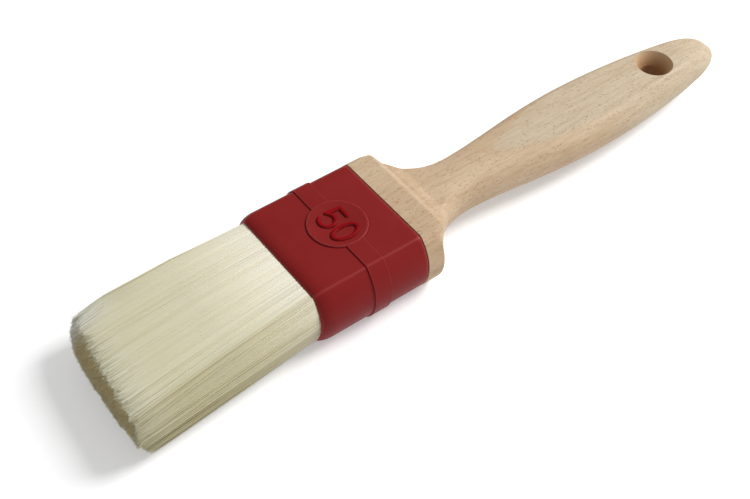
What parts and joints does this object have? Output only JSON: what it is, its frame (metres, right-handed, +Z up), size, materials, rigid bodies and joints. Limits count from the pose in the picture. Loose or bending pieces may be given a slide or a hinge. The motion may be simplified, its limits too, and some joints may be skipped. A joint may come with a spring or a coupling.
{
  "type": "pastry brush",
  "caption": "Flat pastry brush: beech handle with a hang hole, moulded red ferrule with a raised size mark, and pale synthetic bristles for glazing dough.",
  "frame": {"origin": "the middle of the brush's length and width, on the surface it lies on, at the underside of the ferrule's lower disc", "axes": "+X from the bristle tips to the handle's tail, +Y across the brush, +Z up through its thickness, away from the surface"},
  "size_m": [0.2682, 0.0524, 0.0264],
  "materials": {
    "beech": "bare sanded beech with fine flecks",
    "red_moulding": "satin brick-red moulding",
    "cream_filament": "off-white filaments with a soft sheen",
    "spacer_wood": "rough-sawn strip, hidden inside",
    "amber_resin": "cured casting resin, hidden inside"
  },
  "bodies": {
    "root": {"handle": "beech", "ferrule": "red_moulding", "upper_bristles": "cream_filament", "lower_bristles": "cream_filament", "spacer_plug": "spacer_wood", "resin_setting": "amber_resin"}
  },
  "joints": []
}
